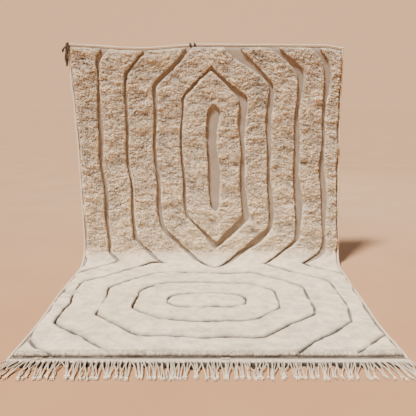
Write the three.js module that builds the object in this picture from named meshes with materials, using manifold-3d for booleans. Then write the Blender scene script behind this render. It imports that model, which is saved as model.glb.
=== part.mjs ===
import * as THREE from "three";
import { mergeVertices } from "three/addons/utils/BufferGeometryUtils.js";
import Module from "manifold-3d";

// A hand-knotted wool rug with carved pile. It hangs from its top edge, bends onto the floor and
// runs out flat to a knotted fringe. Millimetres, +Z up, the floor is Z = 0, the pile faces -Y.
//
// Cloth coordinates: u runs across, to the right as seen from the front, and is 0 in the middle.
// v runs down the cloth from the top edge. w runs out of the back face, towards the pile.

// Driving sizes of the cloth
const HALF_WIDTH = 1000;
const PILE_LENGTH = 3050;
const HANG_LENGTH = 1483;
const BEND_RADIUS = 150;
const GROUND = 5;
const PILE_TOP = 30;
const GAP = 0.3;

// Where the hanging plane stands, so that the origin is under the middle of the whole rug
const HANG_Y = 827.6;
const MIDDLE_X = 8;

// Trim
const SELVEDGE_WIDTH = 9;
const SELVEDGE_HEIGHT = 8.5;
const HEAD_CORD_WIDTH = 17;
const HEAD_CORD_HEIGHT = 10;
const STRIP_WIDTH = 37;
const STRIP_HEIGHT = 6;
const SECTION_CHAMFER = 0.28;

const BODY_HALF = HALF_WIDTH - SELVEDGE_WIDTH - GAP;
const BEND_LENGTH = (BEND_RADIUS * Math.PI) / 2;
const FLAT_START = HANG_LENGTH + BEND_LENGTH;
const TOP_Z = HANG_LENGTH + BEND_RADIUS;

// The outer edges as the rug really hangs: it narrows down the wall and swings right at the foot
const EDGES = [
  { v: 0, left: -1011, right: 983 },
  { v: 212, left: -1001, right: 987 },
  { v: 443, left: -987, right: 988 },
  { v: 745, left: -975, right: 994 },
  { v: 1118, left: -970, right: 1004 },
  { v: 1435, left: -968, right: 1023 },
  { v: 1720, left: -979, right: 1014 },
  { v: 2160, left: -986, right: 996 },
  { v: 2700, left: -974, right: 976 },
  { v: 3050, left: -987, right: 989 },
];

// How far the top edge stands above its middle line: it sags between the places that hold it
const TOP_SAG = [
  { u: -1000, rise: 6 },
  { u: -480, rise: -18 },
  { u: -60, rise: 6 },
  { u: 850, rise: 2 },
  { u: 1000, rise: -16 },
];

// Carved pattern: nested hexagons on the hanging half and nested octagons on the floor half. Each
// medallion has upright sides at side, slanting sides at slant, and level ends at end.
const SLANT_ANGLE = THREE.MathUtils.degToRad(42);
const MEDALLIONS = {
  upper: { u: 30, v: 800, side: 20, slant: 280, end: 5000 },
  lower: { u: -20, v: 2360, side: 250, slant: 200, end: 100 },
};
const CHANNELS = [0, 200, 400, 610, 810];
const CHANNEL_HALF = { left: 8, right: 19 };

// Section of a carved wall, from inside the ground up: how far the pile draws back at each height
const WALL = [
  { w: GROUND - 2, back: 0 },
  { w: PILE_TOP - 6, back: 4 },
  { w: PILE_TOP, back: 13 },
];
const RIM_INSET = 7;

// Facets
const CUT_SLACK = 1.5;
const FLOOR_SLACK = 0.001;
const SAME_POINT = 1e-4;
const POINTED_HALF = 0.5;
const ACROSS_STEPS = 18;
const HANG_STEPS = 12;
const BEND_STEPS = 8;
const FLOOR_STEPS = 9;

// Hand-made unevenness, as sums of waves: each has its size and its length across and down
const SWAY_WAVES = [
  { size: 5, across: 190, down: Infinity, start: 0.5 },
  { size: 3, across: 83, down: -700, start: 1.9 },
];
const DRIFT_ACROSS = [
  { size: 10, across: Infinity, down: 173, start: 0.4 },
  { size: 6, across: 311, down: 71, start: 2 },
];
const DRIFT_DOWN = [
  { size: 10, across: 151, down: Infinity, start: 1.1 },
  { size: 6, across: 63, down: -287, start: 0 },
];
const LUMPS = [
  { size: 2.6, across: 41, down: 97, start: 0 },
  { size: 2.6, across: -53, down: 37, start: 1 },
  { size: 2.6, across: 23, down: -29, start: 0 },
];
const LOCKS = [{ size: 3, across: 1.7, down: 1.1, start: 0 }];
const EDGE_FADE = 90;
const STILL_FROM = 0.6 * HANG_LENGTH;

// The upper right corner of the hanging part curls back
const CORNER_CURL = { depth: 24, fromU: 720, fullV: 200, noneV: 1250 };
const SAG_REACH = 700;

// Fringe: each bunch is two cords drawn together, and the first of them carries the end knot
const BUNCHES = 64;
const END_MARGIN = 16;
const CORD_HALF = 4.2;
const CORD_HEIGHT = 7.5;
const CORD_TOP_SHARE = 0.6;
const FRINGE_LENGTH = 152;
const LENGTH_SPREAD = 9;
const ROOT_DEPTH = 8;
const ROOT_LIFT = 1.2;
const ROOT_SPREAD = 7.8;
const BOW_SPREAD = 8.6;
const DRAWN_SPREAD = 5.1;
const KNOT = { half: 7.6, height: 10.5, length: 24, widest: 11, gap: 5 };
const TIP = { half: 4.6, height: 5 };
const SPLAY = 46;
const SPLAY_START = 600;
const LEAN_SPREAD = 4;
const LEAN_AT_BOW = 0.4;
const FRINGE_SEED = 7;

// Ties, with yarn of a six-sided section. Tails start at the knot, and each row is a point that the
// yarn passes, across, out of the cloth and down from the knot
const YARN_SIDES = 6;
const YARN_STEPS = 3;
const CORNER_KNOT = { u: -994, v: -4, w: 20.5, across: 12, out: 10, down: 19 };
const CORNER_TAILS = [
  {
    radius: 6.2,
    points: [
      { across: -2, out: 0, down: 8 },
      { across: -9, out: -1, down: 34 },
      { across: -12, out: 1, down: 66 },
      { across: -9, out: 0, down: 98 },
      { across: -11, out: 1, down: 128 },
    ],
  },
  {
    radius: 4.2,
    points: [
      { across: -4, out: 0, down: 4 },
      { across: -20, out: 1, down: 14 },
      { across: -30, out: 0, down: 30 },
      { across: -38, out: 0, down: 50 },
    ],
  },
  {
    radius: 4,
    points: [
      { across: 2, out: 3, down: 10 },
      { across: 5, out: 5, down: 26 },
      { across: 4, out: 4, down: 44 },
    ],
  },
];
const MIDDLE_TIES = [
  { name: "middle_tie_left", u: -113, across: 9, out: 4.5, down: 12 },
  { name: "middle_tie_right", u: -82, across: 8, out: 4.5, down: 13 },
];
const END_KNOTS = [
  { name: "end_knot_left", u: -851, lean: -0.5 },
  { name: "end_knot_middle", u: 92, lean: 0.4 },
];
const END_KNOT = { across: 12, along: 8, out: 6, tail: 26, tailRadius: 3.4 };

const wasm = await Module();
wasm.setup();

// Solids

// Each face is a flat loop of corners with no hollow. The triangles of one face keep one label,
// so that a join may merge them with each other but not with the next face.
function toSolid({ points, faces }) {
  const triangles = trianglesOf(faces);
  return new wasm.Manifold(
    new wasm.Mesh({
      numProp: 3,
      vertProperties: new Float32Array(points.flat()),
      triVerts: new Uint32Array(triangles.flat(2)),
      faceID: new Uint32Array(triangles.flatMap((fan, label) => fan.map(() => label))),
    }),
  );
}

function meshOf(geometry) {
  const bare = geometry.clone();
  bare.deleteAttribute("normal");
  bare.deleteAttribute("uv");
  const merged = mergeVertices(bare, SAME_POINT);
  const points = inThrees(merged.attributes.position.array);
  return { points, faces: inThrees(merged.index.array) };
}

function inThrees(list) {
  return Array.from({ length: list.length / 3 }, (_, i) => [...list.slice(3 * i, 3 * i + 3)]);
}

function joinAll(solids) {
  return solids.reduce((joined, solid) => joined.add(solid));
}

function toMesh(solid) {
  const { vertProperties, triVerts } = solid.getMesh();
  return { points: inThrees(vertProperties), faces: inThrees(triVerts) };
}

function trianglesOf(faces) {
  return faces.map((face) => face.slice(1, -1).map((corner, i) => [face[0], corner, face[i + 2]]));
}

function toGeometry({ points, faces }) {
  const geometry = new THREE.BufferGeometry();
  geometry.setAttribute("position", new THREE.Float32BufferAttribute(points.flat(), 3));
  geometry.setIndex(trianglesOf(faces).flat(2));
  const loose = geometry.toNonIndexed();
  loose.computeVertexNormals();
  return loose;
}

// A closed solid through loops of corners that go round anticlockwise as seen from the last loop
function loft(loops) {
  const count = loops[0].length;
  const lastRow = (loops.length - 1) * count;
  const corners = loops[0].map((_, i) => i);
  const faces = [[...corners].reverse(), corners.map((i) => lastRow + i)];
  for (let near = 0; near < lastRow; near += 1) {
    const next = near % count === count - 1 ? near + 1 - count : near + 1;
    faces.push([near, next, next + count, near + count]);
  }
  return { points: loops.flat(), faces };
}

// Cuts each face that crosses a place on one cloth axis, so that the cloth can bend there. Faces
// that meet share the new corners, which keeps the solid closed.
function cutAlong({ points, faces }, axis, places) {
  for (const place of places) {
    const shared = new Map();
    const side = (i) => {
      const off = points[i][axis] - place;
      return Math.abs(off) < CUT_SLACK ? 0 : Math.sign(off);
    };
    const cornerBetween = (a, b) => {
      const key = Math.min(a, b) + "," + Math.max(a, b);
      if (!shared.has(key)) {
        const share = (place - points[a][axis]) / (points[b][axis] - points[a][axis]);
        points.push(points[a].map((value, k) => value + (points[b][k] - value) * share));
        shared.set(key, points.length - 1);
      }
      return shared.get(key);
    };
    faces = faces.flatMap((face) => {
      const sides = face.map(side);
      if (!sides.includes(1) || !sides.includes(-1)) return [face];
      const [low, high] = [[], []];
      face.forEach((corner, i) => {
        if (sides[i] <= 0) low.push(corner);
        if (sides[i] >= 0) high.push(corner);
        const after = (i + 1) % face.length;
        if (sides[i] * sides[after] < 0) {
          const between = cornerBetween(corner, face[after]);
          low.push(between);
          high.push(between);
        }
      });
      return [low, high];
    });
  }
  return { points, faces };
}

function facet(mesh) {
  return cutAlong(cutAlong(mesh, 1, DOWN_CUTS), 0, ACROSS_CUTS);
}

// The drape

function smooth(low, high, value) {
  return THREE.MathUtils.smoothstep(value, low, high);
}

// A smooth curve through the rows of a table
function tableAt(rows, along, name, place) {
  const last = rows.length - 1;
  const row = THREE.MathUtils.clamp(rows.findIndex((r) => r[along] > place) - 1, 0, last - 1);
  const i = place >= rows[last][along] ? last - 1 : row;
  const near = rows[i];
  const next = rows[i + 1];
  const share = THREE.MathUtils.clamp((place - near[along]) / (next[along] - near[along]), 0, 1);
  return THREE.MathUtils.lerp(near[name], next[name], smooth(0, 1, share));
}

function waves(rows, u, v) {
  return rows.reduce((sum, { size, across, down, start }) => {
    return sum + size * Math.sin(u / across + v / down + start);
  }, 0);
}

// Gentle swing of the hanging part towards the viewer, none where it meets the floor
function swayAt(u, v) {
  const hanging = 1 - smooth(STILL_FROM, HANG_LENGTH, v);
  const { depth, fromU, fullV, noneV } = CORNER_CURL;
  const curl = smooth(fromU, HALF_WIDTH, u) * (1 - smooth(fullV, noneV, v));
  return hanging * waves(SWAY_WAVES, u, v) - depth * curl;
}

function drape(u, v, w) {
  const left = tableAt(EDGES, "v", "left", v);
  const right = tableAt(EDGES, "v", "right", v);
  const x = MIDDLE_X + (left + right) / 2 + (u / HALF_WIDTH) * ((right - left) / 2);
  if (v >= FLAT_START - FLOOR_SLACK) {
    return [x, HANG_Y - BEND_RADIUS - (v - FLAT_START), w];
  }
  const out = w + swayAt(u, v);
  if (v >= HANG_LENGTH) {
    const turn = (v - HANG_LENGTH) / BEND_RADIUS;
    const radius = BEND_RADIUS - out;
    const y = HANG_Y - BEND_RADIUS + radius * Math.cos(turn);
    return [x, y, BEND_RADIUS - radius * Math.sin(turn)];
  }
  const rise = tableAt(TOP_SAG, "u", "rise", u) * (1 - smooth(0, SAG_REACH, v));
  return [x, HANG_Y - out, TOP_Z - v + rise];
}

// What the hand leaves: drifting lines, fading out at the rug's edges, and a lumpy pile with
// uneven locks at its rims
function handMade([u, v, w]) {
  const inside = Math.min(BODY_HALF - Math.abs(u), v, PILE_LENGTH - v);
  const fade = smooth(0, EDGE_FADE, inside);
  const pile = smooth(GROUND, PILE_TOP, w);
  const lock = pile * waves(LOCKS, u, v);
  return [
    u + fade * waves(DRIFT_ACROSS, u, v) + lock,
    v + fade * waves(DRIFT_DOWN, u, v) + lock,
    w + pile * waves(LUMPS, u, v),
  ];
}

function steps(from, to, count) {
  return Array.from({ length: count - 1 }, (_, i) => from + ((to - from) * (i + 1)) / count);
}

const ACROSS_CUTS = steps(-HALF_WIDTH, HALF_WIDTH, ACROSS_STEPS);
const DOWN_CUTS = [
  ...steps(0, HANG_LENGTH, HANG_STEPS),
  HANG_LENGTH,
  ...steps(HANG_LENGTH, FLAT_START, BEND_STEPS),
  FLAT_START,
  ...steps(FLAT_START, PILE_LENGTH, FLOOR_STEPS),
];

// Cloth coordinates are left-handed in space, so each face is turned round
function drapeMesh({ points, faces }) {
  return {
    points: points.map((point) => drape(...handMade(point))),
    faces: faces.map((face) => [...face].reverse()),
  };
}

// Rug body

// Corners of a medallion grown by one amount left of its middle and another right of it
function medallionLoop({ u, v, side, slant, end }, growLeft, growRight, w) {
  const sin = Math.sin(SLANT_ANGLE);
  const cos = Math.cos(SLANT_ANGLE);
  const quarter = (grow) => {
    const half = side + grow;
    const tall = Math.min(end + grow, (slant + grow) / cos);
    const sideTop = Math.min(tall, (slant + grow - sin * half) / cos);
    const endHalf = (slant + grow - cos * tall) / sin;
    return { half, tall, sideTop, endHalf: Math.max(endHalf, POINTED_HALF) };
  };
  const l = quarter(growLeft);
  const r = quarter(growRight);
  return [
    [u + r.endHalf, v - r.tall, w],
    [u + r.half, v - r.sideTop, w],
    [u + r.half, v + r.sideTop, w],
    [u + r.endHalf, v + r.tall, w],
    [u - l.endHalf, v + l.tall, w],
    [u - l.half, v + l.sideTop, w],
    [u - l.half, v - l.sideTop, w],
    [u - l.endHalf, v - l.tall, w],
  ];
}

// Everything inside one carved line: way is -1 for the pile within it and 1 for the line's outside
function insideLine(level, way, names) {
  return joinAll(
    names.map((name) => {
      const loops = WALL.map(({ w, back }) => {
        const growLeft = level + way * (CHANNEL_HALF.left + back);
        const growRight = level + way * (CHANNEL_HALF.right + back);
        return medallionLoop(MEDALLIONS[name], growLeft, growRight, w);
      });
      return toSolid(facet(loft(loops)));
    }),
  );
}

function rectangleLoop(inset, w) {
  const half = BODY_HALF - inset;
  return [
    [-half, inset, w],
    [half, inset, w],
    [half, PILE_LENGTH - inset, w],
    [-half, PILE_LENGTH - inset, w],
  ];
}

function bodySolid() {
  const both = ["upper", "lower"];
  const ground = toSolid(facet(loft([rectangleLoop(0, 0), rectangleLoop(0, GROUND)])));
  const rim = WALL.map(({ w, back }) => rectangleLoop(RIM_INSET + back, w));
  let pile = toSolid(facet(loft(rim)));
  for (const level of CHANNELS.slice(1)) {
    pile = pile.subtract(insideLine(level, 1, both).subtract(insideLine(level, -1, both)));
  }
  const lowerCore = insideLine(0, 1, ["lower"]).subtract(insideLine(0, -1, ["lower"]));
  pile = pile.subtract(lowerCore).subtract(insideLine(0, 1, ["upper"]));
  return ground.add(pile);
}

// Lays the level underside as large faces that meet in its middle, in place of small facets
function joinUnderside({ points, faces }) {
  const onFloor = (i) => Math.abs(points[i][2]) < FLOOR_SLACK;
  const under = faces.filter((face) => face.every(onFloor));
  const edges = new Map();
  for (const face of under) {
    face.forEach((corner, i) => edges.set(corner + "," + face[(i + 1) % face.length], face));
  }
  const rim = [...edges.keys()]
    .map((key) => key.split(",").map(Number))
    .filter(([from, to]) => !edges.has(to + "," + from));
  const middle = [0, 1].map((axis) => {
    return rim.reduce((sum, [from]) => sum + points[from][axis], 0) / rim.length;
  });
  points.push([...middle, 0]);
  const centre = points.length - 1;
  const fan = rim.map(([from, to]) => [from, to, centre]);
  return { points, faces: faces.filter((face) => !face.every(onFloor)).concat(fan) };
}

// Trim along the edges

// Eight corners of a cord's section, in two cloth axes, anticlockwise
function cordSection(low, high, bottom, top) {
  const width = (high - low) * SECTION_CHAMFER;
  const height = (top - bottom) * SECTION_CHAMFER;
  return [
    [low + width, bottom],
    [high - width, bottom],
    [high, bottom + height],
    [high, top - height],
    [high - width, top],
    [low + width, top],
    [low, top - height],
    [low, bottom + height],
  ];
}

function headCord() {
  const section = cordSection(-GAP - HEAD_CORD_WIDTH, -GAP, 0, HEAD_CORD_HEIGHT);
  const loopAt = (u) => section.map(([v, w]) => [u, v, w]);
  return drapeMesh(facet(loft([loopAt(-HALF_WIDTH), loopAt(HALF_WIDTH)])));
}

function selvedge(side) {
  const inner = BODY_HALF + GAP;
  const [low, high] = side < 0 ? [-HALF_WIDTH, -inner] : [inner, HALF_WIDTH];
  const section = cordSection(low, high, 0, SELVEDGE_HEIGHT).reverse();
  const loopAt = (v) => section.map(([u, w]) => [u, v, w]);
  return drapeMesh(facet(loft([loopAt(0), loopAt(PILE_LENGTH)])));
}

// Fringe

// One cord lying on the floor: each row has its middle, its half width, its lift and its height
function strand(rows) {
  return toSolid(
    loft(
      rows.map(({ u, v, lift = 0, half, height }) => [
        [u + half, v, lift],
        [u - half, v, lift],
        [u - half * CORD_TOP_SHARE, v, lift + height],
        [u + half * CORD_TOP_SHARE, v, lift + height],
      ]),
    ),
  );
}

function bunchSolids(index, stripEnd) {
  const spread = () => THREE.MathUtils.seededRandom() * 2 - 1;
  const reach = HALF_WIDTH - END_MARGIN;
  const u = THREE.MathUtils.lerp(-reach, reach, index / (BUNCHES - 1));
  const splay = Math.sign(u) * SPLAY * smooth(SPLAY_START, HALF_WIDTH, Math.abs(u));
  const lean = splay + LEAN_SPREAD * spread();
  const tipV = stripEnd + FRINGE_LENGTH + LENGTH_SPREAD * spread();
  const knotV = tipV - KNOT.length;
  const midV = (stripEnd + knotV) / 2;
  const cord = { half: CORD_HALF, height: CORD_HEIGHT };
  const root = { half: CORD_HALF - 1, height: CORD_HEIGHT / 2, lift: ROOT_LIFT };
  const rowsFor = (side, drawnV) => [
    { u: u + side * ROOT_SPREAD, v: stripEnd - ROOT_DEPTH, ...root },
    { u: u + lean * LEAN_AT_BOW + side * BOW_SPREAD, v: midV, ...cord },
    { u: u + lean + side * DRAWN_SPREAD, v: drawnV, ...cord },
  ];
  const knotted = strand([
    ...rowsFor(-1, knotV),
    { u: u + lean, v: knotV + KNOT.widest, ...KNOT },
    { u: u + lean, v: tipV, ...TIP },
  ]);
  return [knotted, strand(rowsFor(1, knotV - KNOT.gap))];
}

function fringe() {
  const start = PILE_LENGTH + GAP;
  const stripEnd = start + STRIP_WIDTH;
  const stripLoop = (w) => [
    [-HALF_WIDTH, start, w],
    [HALF_WIDTH, start, w],
    [HALF_WIDTH, stripEnd, w],
    [-HALF_WIDTH, stripEnd, w],
  ];
  const strip = toSolid(facet(loft([stripLoop(0), stripLoop(STRIP_HEIGHT)])));
  THREE.MathUtils.seededRandom(FRINGE_SEED);
  const cords = Array.from({ length: BUNCHES }, (_, i) => bunchSolids(i, stripEnd)).flat();
  return drapeMesh(toMesh(joinAll([strip, ...cords])));
}

// Ties and knots, placed in space

function lump(centre, across, out, down) {
  const geometry = new THREE.IcosahedronGeometry(1, 1);
  geometry.scale(across, out, down);
  geometry.translate(...centre);
  return toSolid(meshOf(geometry));
}

function yarn(points, radius) {
  const section = new THREE.Shape(new THREE.EllipseCurve(0, 0, radius, radius).getPoints(YARN_SIDES));
  const path = new THREE.CatmullRomCurve3(points.map((point) => new THREE.Vector3(...point)));
  const steps = (points.length - 1) * YARN_STEPS;
  return toSolid(meshOf(new THREE.ExtrudeGeometry(section, { steps, extrudePath: path })));
}

function cornerTie() {
  const { u, v, w, across, out, down } = CORNER_KNOT;
  const centre = drape(u, v, w);
  const tails = CORNER_TAILS.map(({ radius, points }) => {
    const passed = points.map((p) => [centre[0] + p.across, centre[1] - p.out, centre[2] - p.down]);
    return yarn(passed, radius);
  });
  return toMesh(joinAll([lump(centre, across, out, down), ...tails]));
}

function middleTie({ u, across, out, down }) {
  const seat = HEAD_CORD_HEIGHT + 2 * GAP;
  return toMesh(lump(drape(u, -GAP - HEAD_CORD_WIDTH / 2, seat + out), across, out, down));
}

function endKnot({ u, lean }) {
  const { across, along, out, tail, tailRadius } = END_KNOT;
  const v = PILE_LENGTH + GAP + STRIP_WIDTH / 2;
  const centre = drape(u, v, STRIP_HEIGHT + 2 * GAP + out);
  const tailAt = (side) => {
    const tip = [centre[0] + side * tail, centre[1] - side * lean * tail, centre[2] - 1];
    return yarn([centre, [(centre[0] + tip[0]) / 2, centre[1], centre[2] + 1], tip], tailRadius);
  };
  return toMesh(joinAll([lump(centre, across, along, out), tailAt(-1), tailAt(1)]));
}

// The rug

const COLOURS = {
  pile: "#d9cbb8",
  cord: "#d6cabb",
  selvedge: "#c9bba6",
  fringe: "#ddd2c4",
  tie: "#5a4a3c",
  knot: "#dacdbb",
};

const group = new THREE.Group();

function addNode(name, mesh, colour) {
  const material = new THREE.MeshStandardMaterial({ color: colour, roughness: 0.95, metalness: 0 });
  const node = new THREE.Mesh(toGeometry(mesh), material);
  node.name = name;
  group.add(node);
}

addNode("rug_body", joinUnderside(drapeMesh(toMesh(bodySolid()))), COLOURS.pile);
addNode("head_cord", headCord(), COLOURS.cord);
addNode("selvedge_left", selvedge(-1), COLOURS.selvedge);
addNode("selvedge_right", selvedge(1), COLOURS.selvedge);
addNode("front_fringe", fringe(), COLOURS.fringe);
addNode("corner_tie", cornerTie(), COLOURS.tie);
for (const tie of MIDDLE_TIES) {
  addNode(tie.name, middleTie(tie), COLOURS.tie);
}
for (const knot of END_KNOTS) {
  addNode(knot.name, endKnot(knot), COLOURS.knot);
}

export default group;
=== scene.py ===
# A cream hand-knotted wool rug with carved pile, hung from its top edge and run out over a floor.
import math

import bpy
import numpy as np
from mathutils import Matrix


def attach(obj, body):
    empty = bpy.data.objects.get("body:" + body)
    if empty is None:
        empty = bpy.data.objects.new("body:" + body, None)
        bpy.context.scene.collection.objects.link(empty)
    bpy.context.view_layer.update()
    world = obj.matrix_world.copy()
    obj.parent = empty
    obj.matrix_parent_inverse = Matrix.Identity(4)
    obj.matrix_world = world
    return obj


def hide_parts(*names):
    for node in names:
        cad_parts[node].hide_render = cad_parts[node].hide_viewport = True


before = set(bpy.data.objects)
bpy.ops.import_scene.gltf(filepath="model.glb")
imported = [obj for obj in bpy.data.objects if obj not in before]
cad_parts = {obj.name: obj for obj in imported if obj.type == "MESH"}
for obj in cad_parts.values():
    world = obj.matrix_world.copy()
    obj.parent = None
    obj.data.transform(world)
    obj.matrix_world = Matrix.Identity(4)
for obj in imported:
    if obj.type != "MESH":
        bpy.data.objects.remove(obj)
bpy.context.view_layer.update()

# Cloth coordinates are in millimetres: u runs across, v down the cloth from the top edge and w out
# of the back face towards the pile. drape() turns them into metres in the frame.
MM = 0.001

# Driving sizes of the cloth
HALF_WIDTH = 1000
PILE_LENGTH = 3050
HANG_LENGTH = 1483
BEND_RADIUS = 150
GROUND = 5
PILE_TOP = 30
GAP = 0.3
SELVEDGE_WIDTH = 9
SELVEDGE_HEIGHT = 8.5
HEAD_CORD_WIDTH = 17
HEAD_CORD_HEIGHT = 10
STRIP_WIDTH = 37
STRIP_HEIGHT = 6

BODY_HALF = HALF_WIDTH - SELVEDGE_WIDTH - GAP
BEND_LENGTH = BEND_RADIUS * math.pi / 2
FLAT_START = HANG_LENGTH + BEND_LENGTH
TOP_Z = HANG_LENGTH + BEND_RADIUS
STRIP_START = PILE_LENGTH + GAP
STRIP_END = STRIP_START + STRIP_WIDTH

# Where the hanging plane stands in the frame
HANG_Y = 827.6
MIDDLE_X = 8

# The outer edges at places down the cloth, as v and x
LEFT_EDGE = [
    (0, -1011), (212, -1001), (443, -987), (745, -975), (1118, -970),
    (1435, -968), (1720, -979), (2160, -986), (2700, -974), (3050, -987),
]
RIGHT_EDGE = [
    (0, 983), (212, 987), (443, 988), (745, 994), (1118, 1004),
    (1435, 1023), (1720, 1014), (2160, 996), (2700, 976), (3050, 989),
]

# How far the top edge stands above its middle line, as u and rise
TOP_SAG = [(-1000, 6), (-480, -18), (-60, 6), (850, 2), (1000, -16)]
SAG_REACH = 700

# Swing of the hanging part, and the curl of its upper right corner
SWAY_WAVES = [(5, 190, math.inf, 0.5), (3, 83, -700, 1.9)]
STILL_FROM = 0.6 * HANG_LENGTH
CURL_DEPTH = 24
CURL_FROM_U = 720
CURL_FULL_V = 200
CURL_NONE_V = 1250

# Drift of the carved lines, as waves: size, length across, length down, start
DRIFT_ACROSS = [(10, math.inf, 173, 0.4), (6, 311, 71, 2)]
DRIFT_DOWN = [(10, 151, math.inf, 1.1), (6, 63, -287, 0)]
EDGE_FADE = 90

# Carved pattern: nested hexagons on the hanging half and nested octagons on the floor half
SLANT_ANGLE = math.radians(42)
UPPER = {"u": 30, "v": 800, "side": 20, "slant": 280, "end": 5000}
LOWER = {"u": -20, "v": 2360, "side": 250, "slant": 200, "end": 100}
CHANNELS = (200, 400, 610, 810)
CORNER_SOFTNESS = 22
CHANNEL_HALF_LEFT = 13
CHANNEL_HALF_RIGHT = 25
FLOOR_CHANNEL_HALF = 5.6
FLOOR_HALF_MOST = 6.2
RIM_INSET = 7
FRONT_END = PILE_LENGTH - RIM_INSET
SIDE_GAP = 10

# Camera and light
CAMERA_PLACE = (0.008, -2.862, 1.225)
CAMERA_PITCH = math.radians(11.87)
CAMERA_LENS = 42.4
CAMERA_SENSOR = 36
KEY_DIRECTION = (-0.34, -0.38, 0.86)
KEY_DISTANCE = 6
KEY_POWER = 8.0
KEY_SOFTNESS = math.radians(9)
KEY_COLOUR = (1.0, 0.94, 0.85)
FILL_PLACE = (1.8, 5.5, 3.2)
FILL_DIRECTION = (-1.8, -4.7, -2.4)
FILL_SIZE = 3.0
FILL_POWER = 60
FILL_COLOUR = (0.96, 0.97, 1.0)
WORLD_TONES = [(0.2, (1.165, 0.668, 0.372)), (0.5, (0.15, 0.137, 0.122))]
WORLD_FRONT = 0.45
FLOOR_HALF = 150.0
FLOOR_DROP = 0.001
FLOOR_WARM_FROM = -0.8
FLOOR_WARM_TO = 2.6


def smooth(low, high, value):
    share = np.clip((value - low) / (high - low), 0, 1)
    return share * share * (3 - 2 * share)


def blend(low, high, share):
    return low + (high - low) * share


def table_at(rows, place):
    """A smooth curve through the rows of a table."""
    places, values = np.array(rows, float).T
    row = np.clip(np.searchsorted(places, place, side="right") - 1, 0, len(places) - 2)
    share = (place - places[row]) / (places[row + 1] - places[row])
    return blend(values[row], values[row + 1], smooth(0, 1, share))


def steps(start, end, spacing):
    """Even places from start to end, a spacing or nearly so apart."""
    return np.linspace(start, end, round((end - start) / spacing) + 1)


def waves(rows, u, v):
    return sum(size * np.sin(u / across + v / down + start) for size, across, down, start in rows)


def drape(flat):
    """Cloth coordinates in millimetres to places in the frame in metres."""
    u, v, w = np.asarray(flat, float).T
    left, right = table_at(LEFT_EDGE, v), table_at(RIGHT_EDGE, v)
    x = MIDDLE_X + (left + right) / 2 + u / HALF_WIDTH * (right - left) / 2
    sway = (1 - smooth(STILL_FROM, HANG_LENGTH, v)) * waves(SWAY_WAVES, u, v)
    curl = smooth(CURL_FROM_U, HALF_WIDTH, u) * (1 - smooth(CURL_FULL_V, CURL_NONE_V, v))
    out = w + sway - CURL_DEPTH * curl
    turn = np.clip((v - HANG_LENGTH) / BEND_RADIUS, 0, math.pi / 2)
    radius = BEND_RADIUS - out
    bend_y = HANG_Y - BEND_RADIUS + radius * np.cos(turn)
    bend_z = BEND_RADIUS - radius * np.sin(turn)
    rise = table_at(TOP_SAG, u) * (1 - smooth(0, SAG_REACH, v))
    parts = [v < HANG_LENGTH, v >= FLAT_START]
    y = np.select(parts, [HANG_Y - out, HANG_Y - BEND_RADIUS - (v - FLAT_START)], bend_y)
    z = np.select(parts, [TOP_Z - v + rise, w], bend_z)
    return together(x, y, z) * MM


def drift(flat):
    """Moves cloth points as the weaver's lines drift, not at all along the rug's edges."""
    u, v, w = np.asarray(flat, float).T
    inside = np.minimum(BODY_HALF - np.abs(u), np.minimum(v, PILE_LENGTH - v))
    fade = smooth(0, EDGE_FADE, inside)
    return together(u + fade * waves(DRIFT_ACROSS, u, v), v + fade * waves(DRIFT_DOWN, u, v), w)


# Noise

def hashed(column, row, seed):
    """An even random number from 0 to 1 for each cell of a lattice."""
    mixed = (column * 374761393 + row * 668265263 + seed * 974634777) & 0xFFFFFFFF
    mixed = ((mixed ^ (mixed >> 13)) * 1274126177) & 0xFFFFFFFF
    return ((mixed ^ (mixed >> 16)) & 0xFFFFFF) / 0xFFFFFF


def noise(x, y, seed, octaves=1):
    """Smooth random hills from about -1 to 1, one cell wide, with finer ones on them."""
    total = np.zeros(np.shape(x))
    size = 1.0
    reach = 0.0
    for octave in range(octaves):
        column = np.floor(x).astype(np.int64)
        row = np.floor(y).astype(np.int64)
        across = smooth(0, 1, x - column)
        down = smooth(0, 1, y - row)
        layer = seed + 31 * octave
        near, far = (
            blend(hashed(column, line, layer), hashed(column + 1, line, layer), across)
            for line in (row, row + 1)
        )
        total += size * (2 * blend(near, far, down) - 1)
        reach += size
        size /= 2
        x = x * 2 + 17.3
        y = y * 2 + 9.1
    return total / reach


def tufts(x, y, seed):
    """Rounded tops of uneven size on scattered centres, one to a cell, and a level for each cell."""
    column = np.floor(x).astype(np.int64)
    row = np.floor(y).astype(np.int64)
    nearest = np.full(np.shape(x), 9.0)
    level = np.zeros(np.shape(x))
    for step_x in (-1, 0, 1):
        for step_y in (-1, 0, 1):
            cell_x = column + step_x
            cell_y = row + step_y
            centre_x = cell_x + 0.15 + 0.7 * hashed(cell_x, cell_y, seed)
            centre_y = cell_y + 0.15 + 0.7 * hashed(cell_x, cell_y, seed + 1)
            away = np.hypot(x - centre_x, y - centre_y)
            closer = away < nearest
            level = np.where(closer, hashed(cell_x, cell_y, seed + 2), level)
            nearest = np.where(closer, away, nearest)
    return (1 - smooth(0, 0.85, nearest) - 0.5) * (0.5 + level), level


# Meshes

# How far out of its twist a yarn lies, which sets its painted shade, where nothing else says so
PLAIN_SHADE = 0.6


def together(*columns):
    """Columns of coordinates, or single ones for all rows, as rows of points."""
    return np.stack(np.broadcast_arrays(*columns), axis=1)


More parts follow.
